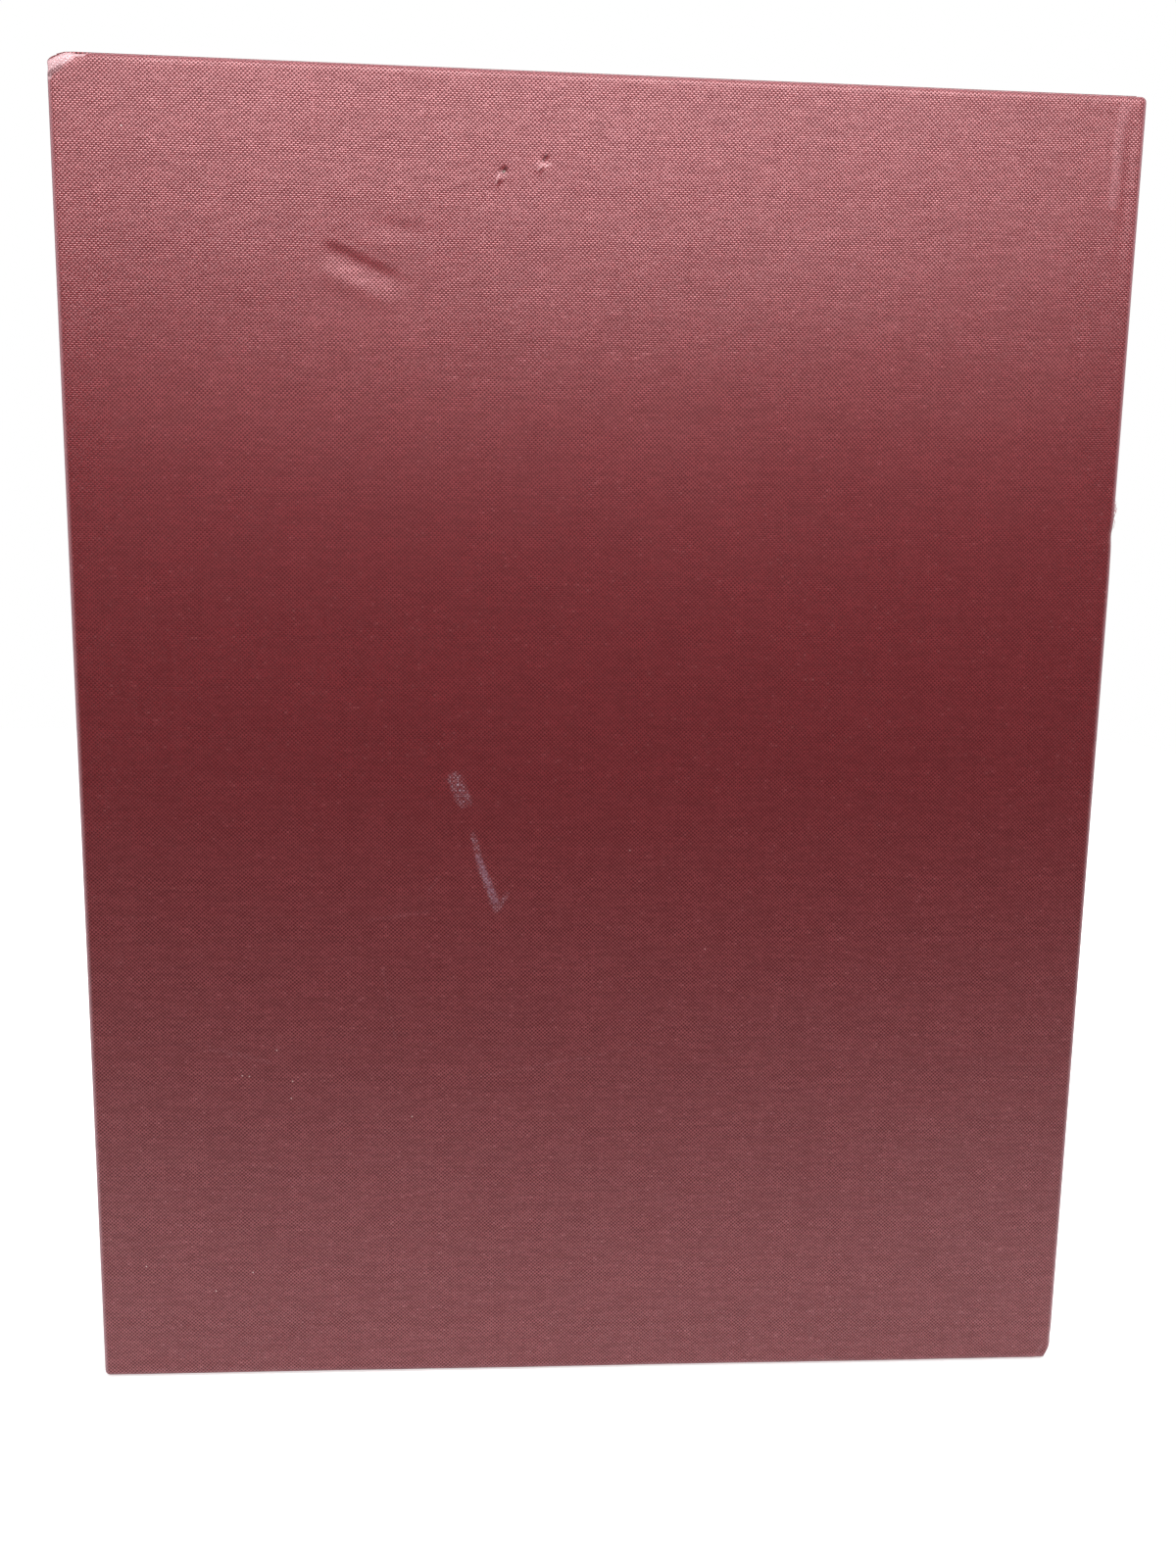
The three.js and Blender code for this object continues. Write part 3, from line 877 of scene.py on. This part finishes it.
# %% Book cloth with its wear
def book_cloth():
    finish = new_finish("book_cloth")
    height, weft_shows, bare_stitch, in_mm = plain_weave(finish)
    here = finish.node("ShaderNodeTexCoord", out="Object")
    x, y, z = finish.split(here)
    across, down = x * 1000 + DEPTH / 2, HEIGHT - z * 1000
    on_front = 1 - (y * 1000).step(FRONT + 0.6, FRONT + 1.4)
    crowns = height.step(0.45, 0.85)
    patches = finish.clouds(in_mm, 0.06, 4.0, 0.6)
    fluff = finish.clouds(in_mm, 1.6, 3.0, 0.7)

    # Painted shade where the warp and the gaps show, and the lighter, lit colour where the weft is
    # on top.
    colour = finish.mix(weft_shows, CLOTH_SHADED_DEEP, CLOTH_LIT_CROWN)
    colour = finish.mix(patches.step(0.35, 0.75) * 0.10, colour, CLOTH_SHADED_DEEP)
    colour = finish.mix(bare_stitch * 0.14, colour, BARE_FIBRE)

    # The mask of a set of line marks on the front. These are rubs and scratches, and also painted
    # highlight and painted shadow.
    def marked(marks):
        total = None
        for start, end, width in marks:
            mark = line_mark(across, down, start, end, width)
            total = mark if total is None else total.at_least(mark)
        return total * on_front

    stipple = crowns * fluff.step(0.42, 0.58)
    rub = marked(RUB_PATCH + RUB_STREAK + RUB_TICK)
    core = marked(RUB_CORE)
    scratch = marked(SCRATCHES) * fluff.step(0.35, 0.6)
    speck = specks(across, down, WHITE_SPECKS, 0.22) * on_front
    colour = finish.mix(rub * stipple * 0.6, colour, RUB_GREY)
    colour = finish.mix(core * fluff.step(0.3, 0.65) * 0.55, colour, RUB_CORE_GREY)
    colour = finish.mix(scratch * crowns * 0.35, colour, SCRATCH_PINK)
    colour = finish.mix(speck * 0.7, colour, SPECK_WHITE)
    # The edges get a pale pink painted highlight on their rounding, with wear. It is stronger on
    # the front.
    edge = edge_sheen_and_wear(x, y, down)
    colour = finish.mix(edge * (0.2 + on_front * 0.3), colour, SHEEN_AND_WEAR_PINK)
    # Painted highlight on the ridge beside the spine edge and on the foot corner.
    colour = finish.mix(marked(SHEEN_LINES) * fluff.step(0.3, 0.7) * 0.15, colour, SHEEN_AND_WEAR_PINK)
    # Painted highlight with wear on the rim of the knocked corner.
    colour = finish.mix(marked(CORNER_RIM) * (0.35 + fluff * 0.4), colour, CORNER_PALE)
    colour = finish.mix(marked(PALE_FLAKES) * 0.3, colour, FLAKE_PINK)
    # Painted shadow in the nicks and in the corner's dimple.
    colour = finish.mix(marked(HOLLOW_SHADOWS) * 0.7, colour, SHADOW_RED)

    roughness = WEFT_ROUGHNESS + (fluff - 0.5) * 0.06 + rub * 0.1
    relief = finish.node(
        "ShaderNodeBump", None,
        {
            "Strength": 1.0, "Distance": THREAD_RELIEF / 1000,
            "Height": height + (fluff - 0.5) * 0.2,
        },
    )
    warp_threads = finish.node(
        "ShaderNodeBsdfPrincipled", None,
        {
            "Base Color": colour, "Roughness": roughness + WARP_ROUGHER, "Normal": relief,
            "IOR": 1.5, "Specular IOR Level": 0.6, "Specular Tint": WARP_TINT,
        },
    )
    weft_threads = finish.node(
        "ShaderNodeBsdfPrincipled", None,
        {
            "Base Color": colour, "Roughness": roughness, "Normal": relief,
            "IOR": 1.9, "Specular IOR Level": 0.75, "Specular Tint": WEFT_TINT,
        },
    )
    cloth = finish.node(
        "ShaderNodeMixShader", None, {0: weft_shows, 1: warp_threads, 2: weft_threads}
    )
    return finish.surface(cloth)


cloth_finish = book_cloth()
print("nodes in the book cloth:", len(cloth_finish.node_tree.nodes))

# %% [markdown]
# ## Paper, board and thread
#
# Lining paper is smooth and off-white with faint clouds of fibre. Greyboard is made of waste
# paper: grey, flecked and rough. Both are the same all through, so they are worked out in space
# from the Object coordinates. Frayed thread is the cloth's own colour, bleached where it broke.

# %% Colours of paper, board and thread
PAPER_CREAM, PAPER_PALE = paint(226, 218, 203), paint(234, 227, 214)
PAPER_FIBRE = paint(206, 194, 174)
BOARD_GREY, BOARD_PALE = paint(132, 126, 115), paint(148, 142, 130)
BOARD_FLECK = paint(88, 84, 78)
THREAD_PINK, THREAD_BLEACHED = paint(176, 104, 110), paint(228, 208, 210)


# %% Lining paper
def lining_paper():
    finish = new_finish("lining_paper")
    here = finish.node("ShaderNodeTexCoord", out="Object")
    clouds = finish.clouds(here, 90.0, 4.0, 0.6)
    fibres = finish.clouds(here, 900.0, 3.0, 0.7)
    colour = finish.mix(clouds.step(0.3, 0.7), PAPER_CREAM, PAPER_PALE)
    colour = finish.mix(fibres.step(0.62, 0.8) * 0.3, colour, PAPER_FIBRE)
    relief = finish.node(
        "ShaderNodeBump", None, {"Strength": 1.0, "Distance": 0.00002, "Height": fibres}
    )
    paper = finish.node(
        "ShaderNodeBsdfPrincipled", None,
        {"Base Color": colour, "Roughness": 0.82 + (fibres - 0.5) * 0.1, "Normal": relief},
    )
    return finish.surface(paper)


# %% Greyboard
def greyboard():
    finish = new_finish("greyboard")
    here = finish.node("ShaderNodeTexCoord", out="Object")
    flecks = finish.clouds(here, 1400.0, 2.0, 0.6)
    clouds = finish.clouds(here, 160.0, 4.0, 0.6)
    colour = finish.mix(clouds.step(0.3, 0.7), BOARD_GREY, BOARD_PALE)
    colour = finish.mix(flecks.step(0.62, 0.72) * 0.5, colour, BOARD_FLECK)
    relief = finish.node(
        "ShaderNodeBump", None, {"Strength": 1.0, "Distance": 0.00006, "Height": clouds}
    )
    board = finish.node(
        "ShaderNodeBsdfPrincipled", None,
        {"Base Color": colour, "Roughness": 0.9 + (flecks - 0.5) * 0.1, "Normal": relief},
    )
    return finish.surface(board)


# %% Broken thread
def broken_thread():
    finish = new_finish("broken_thread")
    here = finish.node("ShaderNodeTexCoord", out="Object")
    bleached = finish.clouds(here, 1800.0, 2.0, 0.6)
    colour = finish.mix(bleached.step(0.35, 0.65), THREAD_PINK, THREAD_BLEACHED)
    thread_shader = finish.node(
        "ShaderNodeBsdfPrincipled", None,
        {"Base Color": colour, "Roughness": 0.75 + (bleached - 0.5) * 0.1},
    )
    return finish.surface(thread_shader)


# %% Put each finish on its pieces
paper_finish, board_finish, thread_finish = lining_paper(), greyboard(), broken_thread()


def put_on(piece, material):
    piece.data.materials.clear()
    piece.data.materials.append(material)


for name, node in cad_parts.items():
    if name.endswith("_lining"):
        put_on(node, paper_finish)
    elif name.endswith("_board"):
        put_on(node, board_finish)
    else:
        put_on(node, cloth_finish)
for piece in (folded_wrap, *strips.values()):
    put_on(piece, cloth_finish)
put_on(frayed_threads, thread_finish)
print("finishes:", [m.name for m in bpy.data.materials])

# %% [markdown]
# ## Table and light
#
# The case stands on a plain white table, and everything behind it is white. One wide soft box
# hangs above and in front of it: the head of the case is nearest to it, so it is the palest part,
# and the filled cloth mirrors the box as a bloom that fades towards the middle. The table is
# mirrored in the foot. To the camera the table glows, the more the further away, so that its
# far end doesn't show against the white behind it. Straight in front, where the camera stands,
# the room is dim, and at both sides it is lighter. A second soft box lights the back, which the
# picture doesn't show.

# %% Table
TABLE_WIDE, TABLE_FRONT = 0.9, 0.30
TABLE_WHITE, PURE_WHITE = (0.88, 0.88, 0.89, 1), (1, 1, 1, 1)
GLOW_NEAR, GLOW_MIRRORED = 0.7, 0.92
table_mesh = bmesh.new()
bmesh.ops.create_grid(table_mesh, x_segments=1, y_segments=1, size=TABLE_WIDE)
bmesh.ops.translate(table_mesh, vec=(0, TABLE_WIDE - TABLE_FRONT, 0), verts=table_mesh.verts)
table_data = bpy.data.meshes.new("table")
table_mesh.to_mesh(table_data)
table_mesh.free()
table = bpy.data.objects.new("table", table_data)
bpy.context.scene.collection.objects.link(table)

table_finish = new_finish("white_table")
seen = table_finish.node("ShaderNodeLightPath", out="Is Camera Ray")
mirrored = Value(table_finish, seen.socket.node.outputs["Is Glossy Ray"])
place_x, place_y, _ = table_finish.split(table_finish.node("ShaderNodeTexCoord", out="Object"))
far = (place_x * place_x + place_y * place_y).root().step(0.25, 0.75)
shaded = table_finish.node("ShaderNodeBsdfDiffuse", None, {"Color": TABLE_WHITE})
glow = table_finish.node(
    "ShaderNodeEmission", None,
    {
        "Color": PURE_WHITE,
        "Strength": (seen * (GLOW_NEAR + far * (1 - GLOW_NEAR))).at_least(mirrored * GLOW_MIRRORED),
    },
)
both = table_finish.node("ShaderNodeAddShader", None, {0: shaded, 1: glow})
put_on(table, table_finish.surface(both))
print("table:", 2 * TABLE_WIDE, "m wide, from", TABLE_FRONT, "m before the middle of the case")


# %% Soft boxes
def soft_box(name, place, aim, wide, high, watts, spread):
    lamp = bpy.data.lights.new(name, "AREA")
    lamp.shape, lamp.size, lamp.size_y, lamp.energy = "RECTANGLE", wide, high, watts
    lamp.spread = math.radians(spread)
    light = bpy.data.objects.new(name, lamp)
    turn = (Vector(aim) - Vector(place)).to_track_quat("-Z", "Y").to_matrix().to_4x4()
    light.matrix_world = Matrix.Translation(place) @ turn
    light.visible_camera = False
    bpy.context.scene.collection.objects.link(light)


soft_box(
    "soft_box", place=(0.0, -0.25, 0.52), aim=(0, -0.024, 0.34),
    wide=0.8, high=0.3, watts=1.7, spread=95,
)
soft_box(
    "back_soft_box", place=(0.1, 0.55, 0.65), aim=(0, 0.02, 0.15),
    wide=1.0, high=0.6, watts=3.0, spread=180,
)
print("soft boxes:", len(bpy.data.lights))

# %% Room
ROOM_LIGHT, SIDE_LIGHT, FRONT_DIMMER = 0.13, 0.6, 0.10
room = bpy.data.worlds.new("room")
bpy.context.scene.world = room
room_finish = Finish(room)
direction = room_finish.node("ShaderNodeTexCoord", out="Generated")
east, north, up = room_finish.split(direction)
towards_front = (north * -1).step(0.2, 0.8)
level = 1 - up.step(0.15, 0.5)
dim = towards_front * level
rays = room_finish.node("ShaderNodeLightPath", out="Is Camera Ray")
sides = (east * east).step(0.45, 0.9)
brightness = (ROOM_LIGHT + sides * SIDE_LIGHT - dim * FRONT_DIMMER).at_least(rays)
backdrop = room_finish.node(
    "ShaderNodeBackground", None, {"Color": PURE_WHITE, "Strength": brightness}
)
room_finish.node("ShaderNodeOutputWorld", None, {"Surface": backdrop})
print("nodes in the room:", len(room.node_tree.nodes))
